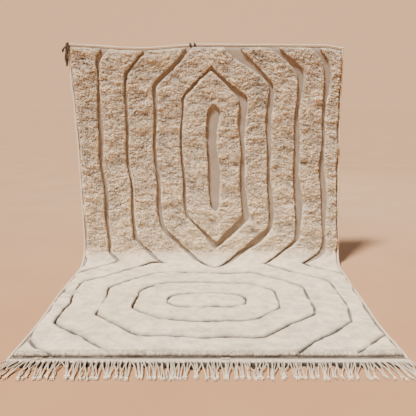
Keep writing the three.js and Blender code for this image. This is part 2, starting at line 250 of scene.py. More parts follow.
def as_mesh(name, parts, attributes=None):
    """One mesh from parts, each of them points and a list of arrays of faces."""
    points = np.concatenate([part_points for part_points, _ in parts])
    starts = np.cumsum([0] + [len(part_points) for part_points, _ in parts[:-1]])
    blocks = [
        block + start
        for start, (_, part_blocks) in zip(starts, parts)
        for block in part_blocks
    ]
    mesh = bpy.data.meshes.new(name)
    mesh.vertices.add(len(points))
    mesh.vertices.foreach_set("co", points.astype(np.float32).ravel())
    corners = np.concatenate([block.ravel() for block in blocks])
    sizes = np.concatenate([np.full(len(block), block.shape[1]) for block in blocks])
    mesh.loops.add(len(corners))
    mesh.loops.foreach_set("vertex_index", corners.astype(np.int32))
    mesh.polygons.add(len(sizes))
    mesh.polygons.foreach_set("loop_start", (np.cumsum(sizes) - sizes).astype(np.int32))
    mesh.polygons.foreach_set("use_smooth", np.ones(len(sizes), bool))
    mesh.update(calc_edges=True)
    for key, values in (attributes or {}).items():
        kind, field = ("FLOAT_VECTOR", "vector") if np.ndim(values) == 2 else ("FLOAT", "value")
        layer = mesh.attributes.new(key, kind, "POINT")
        layer.data.foreach_set(field, np.asarray(values, np.float32).ravel())
    return mesh


def linked(name, data):
    """An object of the scene with this data."""
    item = bpy.data.objects.new(name, data)
    bpy.context.scene.collection.objects.link(item)
    return item


def add_piece(name, parts, material, node, attributes):
    """A piece of the rug, in the frame, that rides on its one body and replaces a node."""
    mesh = as_mesh(name, parts, attributes)
    mesh.materials.append(material)
    piece = linked(name, mesh)
    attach(piece, "root")
    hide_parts(node)
    return piece


def cloth_piece(name, flat, blocks, material, slot, **attributes):
    """A piece of the rug's body from points in cloth coordinates."""
    parts = [(drape(flat), blocks)]
    return add_piece(name, parts, material, "rug_body", {"cloth": flat * MM, **attributes})


def in_metres(points):
    return points * MM


def strand_piece(name, strands, material, node, shades=None, place=drape):
    """A piece of strands, each with its points and faces. place puts the points in the frame."""
    parts = [(place(points), blocks) for points, blocks in strands]
    every = np.concatenate([points for points, _ in strands])
    # The depth attribute holds each point's shade: painted shade of creases and undersides, and some random
    # tone of the yarn
    depth = np.concatenate(shades) if shades else np.full(len(every), PLAIN_SHADE)
    return add_piece(name, parts, material, node, {"cloth": every * MM, "depth": depth})


def unit(vectors):
    return vectors / np.maximum(np.linalg.norm(vectors, axis=-1, keepdims=True), 1e-9)


def tube(path, radius, sides=6, up=(0, 0, 1)):
    """A round strand along a path, closed at its ends. radius is one value or one for each point."""
    path = np.asarray(path, float)
    count = len(path)
    along = unit(np.gradient(path, axis=0))
    side = unit(np.cross(along, up))
    lift = np.cross(side, along)
    angles = np.arange(sides) * 2 * math.pi / sides
    ring = side[:, None] * np.cos(angles)[:, None] + lift[:, None] * np.sin(angles)[:, None]
    reach = np.broadcast_to(radius, count)
    points = (path[:, None] + ring * reach[:, None, None]).reshape(-1, 3)
    return points, tube_faces(count, sides)


def tube_faces(rings, sides):
    """Faces round a run of rings whose corners go anticlockwise as seen from the first one."""
    near = np.arange((rings - 1) * sides)
    after = near // sides * sides + (near + 1) % sides
    quads = together(near, near + sides, after + sides, after)
    first = np.arange(sides)[None]
    last = first[:, ::-1] + (rings - 1) * sides
    return [quads, first, last]


def slab(rows, columns, top, bottom):
    """A closed sheet from the points of its two faces, each a grid."""
    count = rows * columns
    index = np.arange(count).reshape(rows, columns)
    near = index[:-1, :-1].ravel()
    faces = together(near, near + columns, near + columns + 1, near + 1)
    loop = np.concatenate([index[0], index[1:, -1], index[-1, -2::-1], index[-2:0:-1, 0]])
    after = np.roll(loop, -1)
    wall = together(loop, after, after + count, loop + count)
    return np.concatenate([top, bottom]), [faces, faces[:, ::-1] + count, wall]


# Materials

class Nodes:
    """A node tree under construction."""

    def __init__(self, tree):
        self.tree = tree

    def put(self, node, values):
        """Gives the node's inputs their values, or links them to the sockets that are given."""
        for key, value in values.items():
            if isinstance(value, bpy.types.NodeSocket):
                self.tree.links.new(value, node.inputs[key])
            else:
                node.inputs[key].default_value = value

    def node(self, kind, values=None, output=0, **settings):
        node = self.tree.nodes.new("ShaderNode" + kind)
        for key, value in settings.items():
            setattr(node, key, value)
        self.put(node, values or {})
        return node.outputs[output]

    def ramp(self, value, stops):
        """A colour for a value, from stops of a place and a colour."""
        node = self.tree.nodes.new("ShaderNodeValToRGB")
        self.tree.links.new(value, node.inputs[0])
        while len(node.color_ramp.elements) < len(stops):
            node.color_ramp.elements.new(0.5)
        for element, (place, colour) in zip(node.color_ramp.elements, stops):
            element.position = place
            element.color = (*colour, 1)
        return node.outputs[0]


class Shader(Nodes):
    """A procedural material under construction."""

    def __init__(self, name, roughness, sheen):
        self.material = bpy.data.materials.new(name)
        self.material.use_nodes = True
        super().__init__(self.material.node_tree)
        self.surface = self.tree.nodes["Principled BSDF"]
        self.put(self.surface, {
            "Roughness": roughness, "Specular IOR Level": 0.25,
            "Sheen Weight": sheen, "Sheen Roughness": 0.6,
        })

    def attribute(self, name, output="Fac"):
        return self.node("Attribute", output=output, attribute_name=name)

    def stretched(self, place, scale):
        return self.node("Mapping", {"Vector": place, "Scale": scale})

    def noise(self, place, scale, detail=2.0, distortion=0.0, output=0):
        values = {"Vector": place, "Scale": scale, "Detail": detail, "Distortion": distortion}
        return self.node("TexNoise", values, output)

    def streaks(self, place, scale, detail, distortion=0.0):
        """Noise with a scale of its own each way."""
        return self.noise(self.stretched(place, scale), 1.0, detail, distortion)

    def warped(self, place, scale, reach):
        """Places moved about by a fine noise, so that what follows them looks frayed."""
        moved = self.noise(place, scale, output=1)
        centred = self.node("VectorMath", {0: moved, 1: (0.5, 0.5, 0.5)}, operation="SUBTRACT")
        values = {0: centred, 1: (reach, reach, reach), 2: place}
        return self.node("VectorMath", values, operation="MULTIPLY_ADD")

    def cells(self, place, scale):
        return self.node("TexVoronoi", {"Vector": place, "Scale": scale})

    def wave(self, place, scale, direction, distortion, detail_scale):
        values = {
            "Vector": place, "Scale": scale, "Distortion": distortion,
            "Detail": 2.0, "Detail Scale": detail_scale,
        }
        return self.node("TexWave", values, bands_direction=direction)

    def sum(self, *weighted):
        """Adds values, each with its weight."""
        value, weight = weighted[0]
        total = self.product(value, weight)
        for value, weight in weighted[1:]:
            total = self.node("Math", {0: value, 1: weight, 2: total}, operation="MULTIPLY_ADD")
        return total

    def product(self, first, second):
        return self.node("Math", {0: first, 1: second}, operation="MULTIPLY")

    def remap(self, value, low, high):
        return self.node("MapRange", {"Value": value, "From Min": low, "From Max": high})

    def mixed(self, share, first, second, mode="MIX"):
        values = {0: share, 6: first, 7: second}
        return self.node("Mix", values, 2, data_type="RGBA", blend_type=mode)

    def finish(self, colour, height, distance, strength):
        bump = self.node("Bump", {"Height": height, "Distance": distance, "Strength": strength})
        self.put(self.surface, {"Base Color": colour, "Normal": bump})
        return self.material


def linear(*colour):
    """A screen colour from 0 to 255 as linear light."""
    share = np.array(colour) / 255
    return np.where(share <= 0.04045, share / 12.92, ((share + 0.055) / 1.055) ** 2.4)


def pile_material():
    """Cream wool: paler at the tips and darker down between the tufts as painted shade, with hand-spun
    variation.
    """
    shader = Shader("wool_pile", 0.92, 0.18)
    cloth = shader.attribute("cloth", "Vector")
    # The depth attribute: painted shade from the meshes, dark in creases, hollows, carved walls and their
    # feet, pale on tufts, with some random tone of the wool
    depth = shader.attribute("depth")
    loft = shader.attribute("loft")
    bands = shader.streaks(cloth, (2.2, 9, 1), 3)
    cloud = shader.noise(cloth, 11, 3)
    streak = shader.streaks(cloth, (40, 110, 60), 3, 0.6)
    grain = shader.noise(cloth, 300, 3)
    nap = shader.noise(cloth, 850, 2)
    frayed = shader.warped(cloth, 240, 0.006)
    curl = shader.cells(frayed, 260)
    lump = shader.cells(shader.stretched(frayed, (1, 1.8, 1)), 90)
    # Painted shade: darker toward the edges of the curl and lump cells, more so where the pile is curly
    painted_crease_shade = shader.product(shader.sum((curl, 0.5), (lump, 0.6)), shader.sum((loft, 0.7), (1.0, 0.3)))
    tone = shader.sum(
        (depth, 0.84), (cloud, 0.3), (bands, 0.28), (streak, 0.16), (grain, 0.08), (nap, 0.14),
        (painted_crease_shade, -0.18), (1.0, -0.2),
    )
    colour = shader.ramp(tone, [
        (0.2, linear(84, 76, 68)),
        (0.42, linear(166, 156, 146)),
        (0.68, linear(216, 201, 180)),
        (0.9, linear(255, 235, 207)),
    ])
    warmth = shader.ramp(shader.streaks(cloth, (2.5, 5, 1), 3), [
        (0.38, (1.0, 1.0, 0.995)),
        (0.62, (1.0, 0.978, 0.92)),
    ])
    colour = shader.mixed(1.0, colour, warmth, "MULTIPLY")
    fine = shader.sum((grain, 0.5), (curl, -0.7), (lump, -0.8), (streak, 0.3), (nap, 0.3), (1.0, 0.9))
    height = shader.product(fine, shader.sum((loft, 0.7), (1.0, 0.3)))
    return shader.finish(colour, height, 0.004, 0.9)


def ground_material():
    """The flat woven ground on the pile side, and on the back rows of knots in uneven yarn."""
    shader = Shader("wool_ground", 0.95, 0.08)
    cloth = shader.attribute("cloth", "Vector")
    ribs = shader.wave(cloth, 62, "Y", 1.2, 3)
    warps = shader.wave(cloth, 44, "X", 0.8, 3)
    cloud = shader.noise(cloth, 7, 3)
    grain = shader.noise(cloth, 420, 2)
    tone = shader.sum((cloud, 0.5), (ribs, 0.22), (warps, 0.1), (grain, 0.3))
    front = shader.ramp(tone, [
        (0.2, linear(112, 97, 84)),
        (0.55, linear(158, 143, 129)),
        (0.9, linear(190, 177, 163)),
    ])
    knots = shader.cells(shader.stretched(cloth, (1, 0.62, 0)), 165)
    rows = shader.wave(cloth, 31, "Y", 0.5, 2)
    yarn = shader.streaks(cloth, (1.6, 34, 0), 3)
    dye = shader.streaks(cloth, (0.5, 6, 0), 2)
    slubs = shader.streaks(cloth, (26, 120, 0), 2)
    knotted = shader.sum(
        (knots, -0.34), (rows, 0.2), (yarn, 0.3), (dye, 0.35), (slubs, 0.25), (grain, 0.2), (1.0, 0.05),
    )
    back = shader.ramp(knotted, [
        (0.2, linear(170, 154, 134)),
        (0.5, linear(220, 208, 190)),
        (0.8, linear(244, 234, 218)),
    ])
    out = shader.node("SeparateXYZ", {0: cloth}, output=2)
    on_front = shader.remap(out, 0.0005, 0.004)
    colour = shader.mixed(on_front, back, front)
    front_height = shader.sum((ribs, 0.6), (warps, 0.35), (grain, 0.3))
    back_height = shader.sum((knots, -0.9), (rows, 0.5), (slubs, 0.5), (grain, 0.2))
    height = shader.node("Mix", {0: on_front, 2: back_height, 3: front_height})
    return shader.finish(colour, height, 0.0014, 0.9)


def cord_material(name, dark, middle, light):
    """Plied yarn: fine fibres along it, with painted shade where the plies meet."""
    shader = Shader(name, 0.9, 0.15)
    cloth = shader.attribute("cloth", "Vector")
    # The depth attribute: painted shade, darker where the plies meet, low down near the floor and under
    # things
    depth = shader.attribute("depth")
    fibre = shader.noise(cloth, 520, 3)
    cloud = shader.noise(cloth, 26, 3)
    tone = shader.sum((depth, 0.75), (fibre, 0.2), (cloud, 0.2))
    colour = shader.ramp(tone, [(0.2, dark), (0.55, middle), (0.9, light)])
    return shader.finish(colour, fibre, 0.0012, 0.8)


# Pile

# Its grid: spacings, and how near the carved edge a point is moved onto it
ACROSS_SPACING = 4.5
HANG_SPACING = 4.2
FLOOR_SPACING = 6.4
SNAP = 2.4

# Its rounded edge: how far in it runs, its curve, and the share of the height left at the edge
SHOULDER = 17
FLOOR_SHOULDER = 15
RIM_SHOULDER = 12
SHOULDER_POWER = 2.3
EDGE_SHARE = 0.6
FLOOR_EDGE_SHARE = 0.45
RIM_SHARE = 0.3

# The wool's lean down the cloth for each millimetre of height, its overhang at the edges, how far its foot,
# painted dark as a painted shadow, runs out over the ground at the sides, the front and the floor lines,
# and how curly it is where a floor line's edge rolls over
LEAN = 0.22
FRONT_OVERHANG = 7
SHADOW_SKIRT = 6
FLOOR_SHADOW_SKIRT = 14
LINE_SHADOW_SKIRT = 5.5
ROLL_LOFT = 0.75

# Uneven heights: the cell across, the cell down, the size and how much painted shade it puts in the hollows
# and paler tone on the hills
HANGING_RELIEF = [
    (120, 70, 7.0, 0.08),
    (60, 36, 3.8, 0.08),
    (38, 17, 2.8, 0.10),
    (24, 11, 2.4, 0.14),
    (14, 7, 2.0, 0.12),
]
LYING_RELIEF = [
    (130, 80, 4.5, 0.0),
    (50, 30, 1.9, 0.04),
    (21, 17, 0.7, 0.07),
    (9, 8, 0.3, 0.07),
]

# Sizes of its clumps, curls and tips, and how far they rise
CLUMP_ACROSS, CLUMP_DOWN = 25, 11
CURL_ACROSS, CURL_DOWN = 17, 8.5
TIP_SIZE = 5
CLUMP_RISE = 4.5
CURL_RISE = 2.6
RIPPLE_RISE = 2.8
TIP_RISE = 0.8
FRAY_CLUMP_RISE = 3.2
FRAY_CURL_RISE = 3


def level(medallion, u, v):
    """How far outside a medallion's own outline a point lies, with hand-cut corners."""
    across = np.abs(u - medallion["u"])
    down = np.abs(v - medallion["v"])
    slant = math.sin(SLANT_ANGLE) * across + math.cos(SLANT_ANGLE) * down - medallion["slant"]
    outline = soft_larger(across - medallion["side"], slant)
    return soft_larger(outline, down - medallion["end"])


def soft_larger(first, second):
    return (first + second + np.hypot(first - second, CORNER_SOFTNESS) - CORNER_SOFTNESS * 0.4) / 2


def channel_half(medallion, u, v):
    """Half the width of a carved line: wider to the right, nearly closed on the floor."""
    share = smooth(-160, 160, u - medallion["u"])
    half = blend(CHANNEL_HALF_LEFT, CHANNEL_HALF_RIGHT, share)
    half = half * (1 + 0.65 * noise(u / 170, v / 230, 6))
    on_floor = smooth(HANG_LENGTH - 60, FLAT_START + 60, v)
    down = np.abs(v - medallion["v"]) - medallion["end"]
    runs_across = smooth(-60, 60, down - (level(medallion, u, v) - 20))
    floor_half = FLOOR_CHANNEL_HALF * (1 + 2.0 * noise(u / 85, v / 85, 8, 2)) * (1 + 0.45 * runs_across)
    return blend(half, np.minimum(floor_half, FLOOR_HALF_MOST), on_floor)


def pile_depth(u, v):
    """How far a point of the cloth lies inside the pile's nearest carved edge, in millimetres."""
    meander = 4 * noise(u / 52, v / 52, 7, 2)
    upper = level(UPPER, u, v) + meander
    lower = level(LOWER, u, v) + meander
    nearest = np.minimum(upper, lower)
    half = np.where(upper < lower, channel_half(UPPER, u, v), channel_half(LOWER, u, v))
    uneven = blend(2.6, 1.6, smooth(HANG_LENGTH, FLAT_START, v))
    half = half + uneven * noise(u / 21, v / 21, 5, 2)
    inside = np.minimum(np.abs(lower) - half, upper - half)
    for line in CHANNELS:
        inside = np.minimum(inside, np.abs(nearest - line) - half)
    ragged = SIDE_GAP * (0.7 + 1.5 * noise(v / 85, np.sign(u) * 7.5, 9, 2))
    ragged = ragged * (1 + 0.9 * smooth(HANG_LENGTH, FLAT_START, v))
    side_rim = BODY_HALF - np.abs(u) - ragged
    end_rim = np.minimum(v, PILE_LENGTH - v)
    return np.minimum(inside, np.minimum(side_rim, end_rim) - RIM_INSET)


def band_of(u, v):
    """Which of the pile's bands a point is in, counted from the middle of the floor medallion."""
    nearest = np.minimum(level(UPPER, u, v), level(LOWER, u, v))
    return sum((nearest > line).astype(int) for line in (0, *CHANNELS))


def pile_relief(u, v):
    """How far the tufts stand out of a level pile, their painted shade and how far they still hang."""
    hangs = 1 - smooth(HANG_LENGTH - 60, FLAT_START + 10, v)
    fray = smooth(46, 10, FRONT_END - v)
    bend_u = u + 9 * noise(u / 44, v / 44, 11)
    bend_v = v + 9 * noise(u / 38, v / 38, 12)
    height = 0
    shade = 0.5
    for rows, share in ((HANGING_RELIEF, hangs), (LYING_RELIEF, 1 - hangs)):
        for seed, (across, down, size, painted_hollow_shade) in enumerate(rows):
            hills = noise(bend_u / across, bend_v / down, 60 + seed)
            height = height + share * size * hills
            # Painted shade: the hollows darker and the hills paler
            shade = shade + share * painted_hollow_shade * hills
    patch = smooth(-0.4, 0.6, noise(u / 110, v / 80, 13, 2))
    ripple = 1 - np.abs(noise(bend_u / 70, bend_v / 16, 14, 2)) * 2.4
    clumps, clump_level = tufts(bend_u / CLUMP_ACROSS, bend_v / CLUMP_DOWN, 15)
    curls, _ = tufts(u / CURL_ACROSS, v / CURL_DOWN, 19)
    tips = noise(u / TIP_SIZE, v / TIP_SIZE, 20)
    rough = CLUMP_RISE * clumps + CURL_RISE * curls + RIPPLE_RISE * patch * ripple + TIP_RISE * tips
    curly = FRAY_CLUMP_RISE * clumps + FRAY_CURL_RISE * curls
    height = height + blend(fray * curly, rough, hangs)
    # Painted shade: the creases between the front edge's nubs and between the hanging pile's clumps, curls
    # and ripples darker, their tops paler; painted light: the hanging part paler toward its foot and darker
    # at its top. The lying part's blotches and each clump's level are a random tone of the wool.
    lying_shade = (0.13 + 0.16 * noise(bend_u / 44, bend_v / 40, 24, 2)) * (1 - fray)
    lying_shade = lying_shade + fray * (0.35 * clumps + 0.45 * curls)
    hanging_shade = 0.10 * clumps + 0.12 * curls + 0.10 * patch * ripple + 0.13 * (clump_level - 0.5)
    hanging_shade = hanging_shade + 0.12 * smooth(500, HANG_LENGTH, v) - 0.06 * smooth(450, 0, v) - 0.02
    shade = shade + blend(lying_shade, hanging_shade, hangs)
    return height, np.clip(shade, 0, 1), hangs


def pile_lines():
    across = steps(-BODY_HALF, BODY_HALF, ACROSS_SPACING)
    split = HANG_LENGTH + BEND_LENGTH / 2
    return across, steps(0, split, HANG_SPACING), steps(split, PILE_LENGTH, FLOOR_SPACING)[1:]


def slope_of_depth(u, v):
    """The way further into the pile, across and down."""
    step = 0.6
    across = (pile_depth(u + step, v) - pile_depth(u - step, v)) / (2 * step)
    down = (pile_depth(u, v + step) - pile_depth(u, v - step)) / (2 * step)
    length = np.maximum(np.hypot(across, down), 0.3)
    return across / length, down / length


def pile_triangles(rows, columns, depth, u, v):
    """Triangles of the grid that lie in the pile, with its edge along the snapped points."""
    kind = np.where(depth > SNAP, 1, np.where(depth < -SNAP, -1, 0))
    row, column = np.divmod(np.arange((rows - 1) * (columns - 1)), columns - 1)
    a = row * columns + column
    b, c, e = a + 1, a + columns + 1, a + columns
    turned = (kind[a] * kind[c] < 0) | ((row + column) % 2 == 0)
    turned = (turned & (kind[b] * kind[e] >= 0))[:, None]
    first = np.where(turned, together(a, e, b), together(a, e, c))
    second = np.where(turned, together(b, e, c), together(a, c, b))
    triangles = np.concatenate([first, second])
    triangles = triangles[kind[triangles].min(axis=1) >= 0]
    keep = kind[triangles].all(axis=1)
    edge = triangles[~keep]
    keep[~keep] = pile_depth(u[edge].mean(axis=1), v[edge].mean(axis=1)) > 0
    return triangles[keep]


def open_edges(triangles, count):
    """Edges that only one triangle has, with that triangle, in its own direction."""
    sides = np.concatenate([triangles[:, [0, 1]], triangles[:, [1, 2]], triangles[:, [2, 0]]])
    owner = np.tile(np.arange(len(triangles)), 3)
    forward = sides[:, 0] * count + sides[:, 1]
    backward = sides[:, 1] * count + sides[:, 0]
    alone = ~np.isin(forward, backward)
    return sides[alone], owner[alone]


def pile_top(u, v):
    """The pile's surface over flat points: their places in it, painted shade, loft, distance inside, the
    way further in across and down, and how far they are in the rolled edge of a floor line."""
    inside = np.clip(pile_depth(u, v), 0, None)
    height, painted_relief_shade, loft = pile_relief(u, v)
    at_front = smooth(45, 15, PILE_LENGTH - v)
    at_side = smooth(45, 15, BODY_HALF - np.abs(u)) * (1 - 0.6 * loft)
    at_rim = np.maximum(at_front, at_side)
    shoulder = blend(FLOOR_SHOULDER, SHOULDER, loft) + RIM_SHOULDER * at_rim
    rounded = 1 - np.clip(1 - inside / shoulder, 0, 1) ** SHOULDER_POWER
    edge_share = blend(blend(FLOOR_EDGE_SHARE, EDGE_SHARE, loft), RIM_SHARE, at_rim)
    profile = blend(edge_share, 1, rounded ** (1 / SHOULDER_POWER))
    w = GROUND + (PILE_TOP - GROUND) * profile + height * profile
    in_u, in_v = slope_of_depth(u, v)
    edge_pull = 1 - smooth(0, 14, inside)
    push = edge_pull * blend(2.2, 5.0, at_front) * noise(u / 9, v / 9, 23, 2)
    lean = LEAN * loft * (w - GROUND)
    top = together(u - in_u * push, v - in_v * push + lean, w)
    # Painted shade: darker toward the carved edges and on the rolled near edge of each floor line; painted
    # highlight a little inside the carved edges of the hanging part
    edge_shade = smooth(0, blend(5, 9, loft), inside)
    roll = (1 - loft) * (1 - at_front) * smooth(0.1, 0.7, -in_v) * smooth(26, 5, inside)
    painted_relief_shade = np.clip(painted_relief_shade + 0.1 * loft * smooth(26, 4, inside) - 0.14 * roll, 0, 1)
    shade = painted_relief_shade * blend(0.9 * (loft * (1 - at_front)), 1, edge_shade)
    return top, shade, loft, inside, in_u, in_v, roll


def carved_walls(top, loft, u, v, in_u, in_v):
    """The two rings of points below the pile's open edges, and the painted shade of the first; the second,
    the foot, runs out over the ground as a painted shadow.
    """
    at_front = smooth(20, 8, PILE_LENGTH - v)
    bulge = 1.6 + 1.6 * noise(u / 8, v / 8, 27)
    bulge = bulge - FRONT_OVERHANG * at_front * (1 + 0.9 * noise(u / 34, v / 34, 31, 2))
    share = 0.55 - 0.3 * at_front
    middle_w = GROUND + share * (top[:, 2] - GROUND) + 1.2 * noise(u / 11, v / 11, 28)
    droop = 4.5 * noise(u / 90, v / 90, 29, 2) + 4.0 * noise(u / 19, v / 19, 30, 2) - 1.5
    middle_w = np.maximum(middle_w + droop * at_front, GROUND + 0.6)
    lean = LEAN * loft * (middle_w - GROUND)
    middle = together(u - in_u * bulge, v - in_v * bulge + lean, middle_w)
    # The foot is painted dark and runs out over the ground as a painted shadow: at the sides, the front and
    # along the floor lines
    at_side = smooth(34, 26, BODY_HALF - np.abs(u)) * (1 - at_front)
    at_line = (1 - loft) * (1 - at_front) * (1 - at_side)
    side_shadow_skirt = blend(FLOOR_SHADOW_SKIRT, SHADOW_SKIRT, loft) * at_side
    tuck = 1 - np.maximum(side_shadow_skirt, (SHADOW_SKIRT + 1) * at_front) - LINE_SHADOW_SKIRT * at_line
    foot_w = GROUND - 1.5 + 2.0 * (1 - loft * (1 - at_side))
    foot = together(u + in_u * tuck, v + in_v * tuck, foot_w)
    # Painted shade of the middle ring
    return middle, foot, 0.4 * loft + 0.1 * at_front


def make_pile(material):
    """The pile cut along its carved lines: a hanging and a lying piece for each band."""
    across, hanging, lying = pile_lines()
    u, v = (grid.ravel() for grid in np.meshgrid(across, np.concatenate([hanging, lying])))
    depth = pile_depth(u, v)
    near = np.abs(depth) <= SNAP
    slope_u, slope_v = slope_of_depth(u[near], v[near])
    u[near] -= depth[near] * slope_u
    v[near] -= depth[near] * slope_v
    triangles = pile_triangles(len(hanging) + len(lying), len(across), depth, u, v)
    edges, owner = open_edges(triangles, len(u))
    rim = np.unique(edges)
    top, top_shade, loft, _, in_u, in_v, roll = pile_top(u, v)
    middle, foot, middle_shade = carved_walls(top[rim], loft[rim], u[rim], v[rim], in_u[rim], in_v[rim])
    flat = drift(np.concatenate([top, middle, foot]))
    # Faces of the walls, from the edges to the two rings of points below them
    start, end = (len(u) + np.searchsorted(rim, edges[:, side]) for side in (0, 1))
    walls = np.concatenate([
        together(edges[:, 1], edges[:, 0], start, end),
        together(end, start, start + len(rim), end + len(rim)),
    ])
    # Painted shade: the carved walls darker, and their feet darkest as a painted shadow over the ground
    shade = np.concatenate([top_shade, middle_shade, np.zeros(len(rim))])
    curly = np.maximum(loft, np.maximum(0.9 * smooth(46, 20, FRONT_END - v), ROLL_LOFT * roll))
    curly = np.concatenate([curly, curly[rim], curly[rim]])
    lies = (triangles // len(across)).max(axis=1) >= len(hanging)
    band = band_of(u[triangles].mean(axis=1), v[triangles].mean(axis=1))
    pieces = []
    for number in range(len(CHANNELS) + 2):
        for part, chosen in (("hanging", ~lies), ("lying", lies)):
            mine = (band == number) & chosen
            if not mine.any():
                continue
            blocks = [triangles[mine], walls[np.tile(mine[owner], 2)]]
            used = np.unique(np.concatenate([block.ravel() for block in blocks]))
            blocks = [np.searchsorted(used, block) for block in blocks]
            pieces.append(cloth_piece(
                f"pile_band_{number}_{part}", flat[used], blocks, material, "pile",
                depth=shade[used], loft=curly[used],
            ))
    return pieces


# Locks of wool that stand out of the pile. A row has the spacing, the first and last place down the cloth,
# the margin before the last, how far inside the pile's edge they start and end, and their length,
# thickness, droop and the lowest value of their painted shade.
LOCKS = {
    "pile_locks": (12.6, 0, HANG_LENGTH + 40, 0, 2, math.inf, 17, 3.6, 0.2, 0),
    "pile_rim_locks": (9, 0, HANG_LENGTH + 20, 0, 0.5, 9, 13, 3.0, 0.1, 0.35),
    "pile_edge_locks": (9, HANG_LENGTH + 20, PILE_LENGTH, 20, 1, 7, 8, 2.4, 0, 0.5),
    "pile_front_nubs": (5.6, FRONT_END - 30, FRONT_END, 0, 0.5, math.inf, 9, 2.0, 0.3, 0.5),
}


def scattered(random, spacing, low_v, high_v):
    """Points spread unevenly over the pile between two places down the cloth."""
    columns = int(2 * BODY_HALF / spacing)
    rows = int((high_v - low_v) / spacing)
    row, column = np.divmod(np.arange(rows * columns), columns)
    u = -BODY_HALF + (column + random.uniform(0, 1, len(column))) * spacing
    v = low_v + (row + random.uniform(0, 1, len(row))) * spacing
    return u, v


def make_locks(name, u, v, length, thickness, droop, palest, random, material):
    """Small hooked tufts that lean sideways out of the pile and bend back to it."""
    top, shade, loft, inside, in_u, in_v, roll = pile_top(u, v)
    loft = np.maximum(loft, ROLL_LOFT * roll)
    shade = np.maximum(shade, palest)
    count = len(u)
    away = smooth(18, 4, inside)
    direction = unit(together(
        random.choice((-1, 1), count) * random.uniform(0.2, 1.0, count) * (1 - away) - in_u * away * 0.3,
        droop + random.normal(0, 0.3, count) - in_v * away * 0.3,
        random.uniform(0.5, 1.0, count),
    ))
    turned = unit(direction + (0, 0.5, -0.9))
    long = length * (random.uniform(0.6, 1.25, count) * (1 - 0.35 * away))[:, None]
    thick = thickness * random.uniform(0.7, 1.3, count)[:, None]
    base = top - (0, 0, 2.2)
    elbow = base + direction * long * 0.5
    side = unit(np.cross(direction, (0.3, 0.2, 1.0)))
    lift = np.cross(side, direction)
    angles = np.arange(3)[:, None, None] * 2 * math.pi / 3 + random.uniform(0, 2, (count, 1))
    ring = side * np.cos(angles) + lift * np.sin(angles)
    rings = [*(base + thick * ring), *(elbow + 0.75 * thick * ring), elbow + turned * long * 0.5]
    flat = drift(np.stack(rings, axis=1).reshape(-1, 3))
    start = np.arange(count)[:, None] * len(rings)
    sides = [start + row for row in ((0, 1, 4, 3), (1, 2, 5, 4), (2, 0, 3, 5))]
    tips = [start + row for row in ((3, 4, 6), (4, 5, 6), (5, 3, 6), (2, 1, 0))]
    # Painted shade and highlight: each lock darker at its root and paler toward its tip
    painted_tip_highlight = random.uniform(0.08, 0.42 - 0.5 * palest, count)
    shades = [shade * 0.8] * 3 + [shade + 0.6 * painted_tip_highlight] * 3 + [shade + painted_tip_highlight]
    depth = np.clip(np.stack(shades, axis=1), 0, 1).ravel()
    blocks = [np.concatenate(sides), np.concatenate(tips)]
    loft = np.repeat(loft, len(rings))
    return cloth_piece(name, flat, blocks, material, "pile", depth=depth, loft=loft)


def make_all_locks(material):
    random = np.random.default_rng(11)
    pieces = []
    for name, (spacing, first_v, last_v, margin, least, most, *looks) in LOCKS.items():
        u, v = scattered(random, spacing, first_v, last_v)
        inside = pile_depth(u, v)
        chosen = (inside > least) & (inside < most) & (v < last_v - margin)
        pieces.append(make_locks(name, u[chosen], v[chosen], *looks, random, material))
    return pieces


# Ground and trim

GROUND_SPACING = 32


def make_ground(material):
    across = steps(-BODY_HALF, BODY_HALF, GROUND_SPACING)
    down = steps(0, PILE_LENGTH, GROUND_SPACING)
    u, v = (grid.ravel() for grid in np.meshgrid(across, down))
    flat, blocks = slab(len(down), len(across), together(u, v, GROUND), together(u, v, 0))
    return cloth_piece("ground_cloth", flat, blocks, material, "ground")


def plied(path, radius, pitch, plies=2, spread=0.5, sides=6, start=0.0, flatness=1.0):
    """Plies twisted round a path. Returns the strands and their painted shade, from how far out of the
    twist each point is.
    """
    run = np.concatenate([[0], np.cumsum(np.linalg.norm(np.diff(path, axis=0), axis=1))])
    along = unit(np.gradient(path, axis=0))
    side = unit(np.cross(along, (0, 0, 1)))
    lift = np.cross(side, along)
    reach = np.broadcast_to(radius, len(path))
    strands = []
    shades = []
    for ply in range(plies):
        turn = start + run / pitch * 2 * math.pi + ply * 2 * math.pi / plies
        offset = side * np.cos(turn)[:, None] + lift * np.sin(turn)[:, None] * flatness
        centre = path + offset * (reach * spread)[:, None]
        points, blocks = tube(centre, reach * (1 - spread) * 1.12, sides)
        strands.append((points, blocks))
        # Painted shade: darker the nearer a point lies to the middle of the twist
        away = np.linalg.norm(points - np.repeat(path, sides, axis=0), axis=1)
        shades.append(smooth(0.25, 1.05, away / np.repeat(reach, sides)))
    return strands, shades


def make_head_cord(material):
    u = np.arange(-HALF_WIDTH, HALF_WIDTH + 1, 4.0)
    v = -GAP - HEAD_CORD_WIDTH / 2 + 1.2 * noise(u / 46, u * 0, 41)
    path = together(u, v, HEAD_CORD_HEIGHT / 2)
    strands, shades = plied(path, radius=8.0, pitch=31, sides=8, flatness=0.45)
    return strand_piece("head_cord_rope", strands, material, "head_cord", shades)


